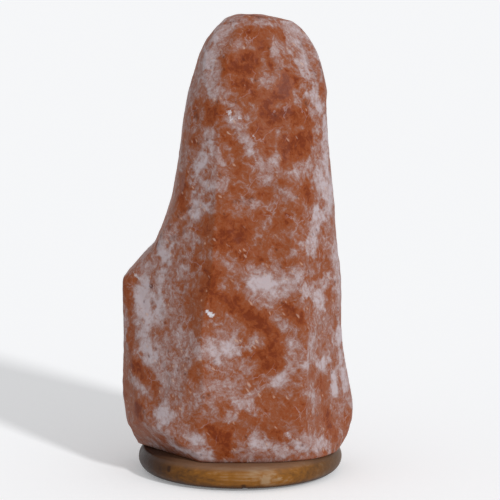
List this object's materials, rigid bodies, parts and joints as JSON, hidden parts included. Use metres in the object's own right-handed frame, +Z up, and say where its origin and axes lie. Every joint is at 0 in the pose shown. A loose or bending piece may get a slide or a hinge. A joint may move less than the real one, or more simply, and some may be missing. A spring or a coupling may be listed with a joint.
{
  "type": "salt crystal lamp",
  "caption": "Table lamp: a rough-hewn block of rock salt on a round turned wooden base, with a screw-in lamp on a sprung holder in a bore inside the block.",
  "frame": {"origin": "centre of the round base, on the surface that the lamp stands on", "axes": "+Z up, +X to the lamp's right as it is seen from the front, -Y towards the front"},
  "size_m": [0.1681, 0.15, 0.3335],
  "materials": {
    "rock_salt": "rough, cloudy and partly translucent",
    "turned_wood": "oiled, satin",
    "felt": "matte felt",
    "zinc_screw": "bright zinc plate",
    "nylon_plug": "matte",
    "plate_steel": "white enamel",
    "spring_steel": "bright spring steel",
    "holder_plastic": "satin moulded",
    "carrier_ceramic": "unglazed steatite",
    "contact_brass": "bright",
    "cover_plastic": "satin moulded",
    "inlet_rubber": "matte",
    "cap_metal": "nickel plate",
    "cap_solder": "dull solder",
    "cap_glass": "black glass",
    "envelope_glass": "clear",
    "stem_glass": "clear lead glass",
    "lead_wire": "nickel wire",
    "tungsten": "drawn tungsten"
  },
  "bodies": {
    "lampholder": {"retainer_plate": "plate_steel", "spring_bracket": "spring_steel", "lampholder_skirt": "holder_plastic", "contact_carrier": "carrier_ceramic", "threaded_sleeve": "contact_brass", "centre_contact": "contact_brass", "side_contact": "contact_brass", "terminal_screws": "zinc_screw", "terminal_cover": "cover_plastic", "cover_screws": "zinc_screw", "inlet_grommet": "inlet_rubber"},
    "lamp_body": {"salt_crystal": "rock_salt", "wood_base": "turned_wood", "foot_pad_1": "felt", "foot_pad_2": "felt", "foot_pad_3": "felt", "foot_pad_4": "felt", "base_screws": "zinc_screw", "wall_plugs": "nylon_plug"},
    "bulb_foot": {"bulb_contact": "cap_solder", "bulb_insulator": "cap_glass"},
    "bulb": {"bulb_cap": "cap_metal", "bulb_glass": "envelope_glass", "bulb_stem": "stem_glass", "bulb_leads": "lead_wire", "bulb_filament": "tungsten"}
  },
  "joints": [
    {"name": "body_lift", "type": "slide", "parent": "lampholder", "child": "lamp_body", "axis": [0, 0, 1], "range_m": [0, 0.115]},
    {"name": "bulb_rise", "type": "slide", "parent": "lampholder", "child": "bulb_foot", "axis": [0, 0, 1], "range_m": [0, 0.00988]},
    {"name": "bulb_turn", "type": "hinge", "parent": "bulb_foot", "child": "bulb", "pos_m": [0, 0, 0.03], "axis": [0, 0, 1], "range_deg": [0, 1260]}
  ],
  "couplings": [
    {"joint": "bulb_rise", "follows": "bulb_turn", "m_per_rad": 0.00044913}
  ]
}
